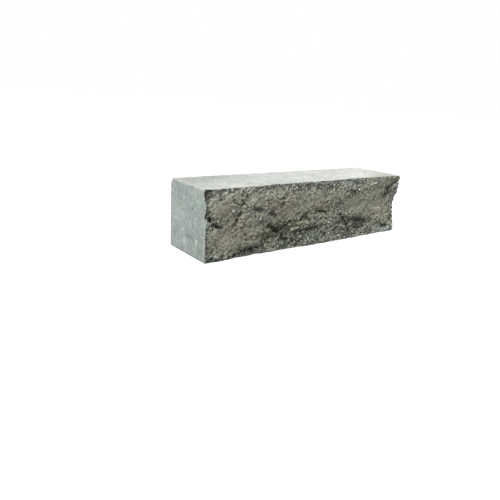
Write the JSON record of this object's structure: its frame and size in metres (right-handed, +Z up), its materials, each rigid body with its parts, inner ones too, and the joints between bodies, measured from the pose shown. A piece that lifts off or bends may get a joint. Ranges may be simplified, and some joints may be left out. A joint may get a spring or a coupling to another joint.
{
  "type": "split-face concrete wall block",
  "caption": "Long solid concrete walling block, moulded smooth on its bed, top, rear and ends, with a rough split front face; laid dry or glued in courses for garden and retaining walls.",
  "frame": {"origin": "middle of the bed: halfway along the length and between the moulded rear and the proudest point of the split face, at the height of the bed", "axes": "+X along the length of the wall, to the right as the split face is seen; +Y out of the moulded rear face, so the split face looks towards -Y; +Z up, out of the top face"},
  "size_m": [0.6, 0.15, 0.15],
  "materials": {
    "cast_concrete": "matte"
  },
  "bodies": {
    "root": {"wall_block": "cast_concrete"}
  },
  "joints": []
}
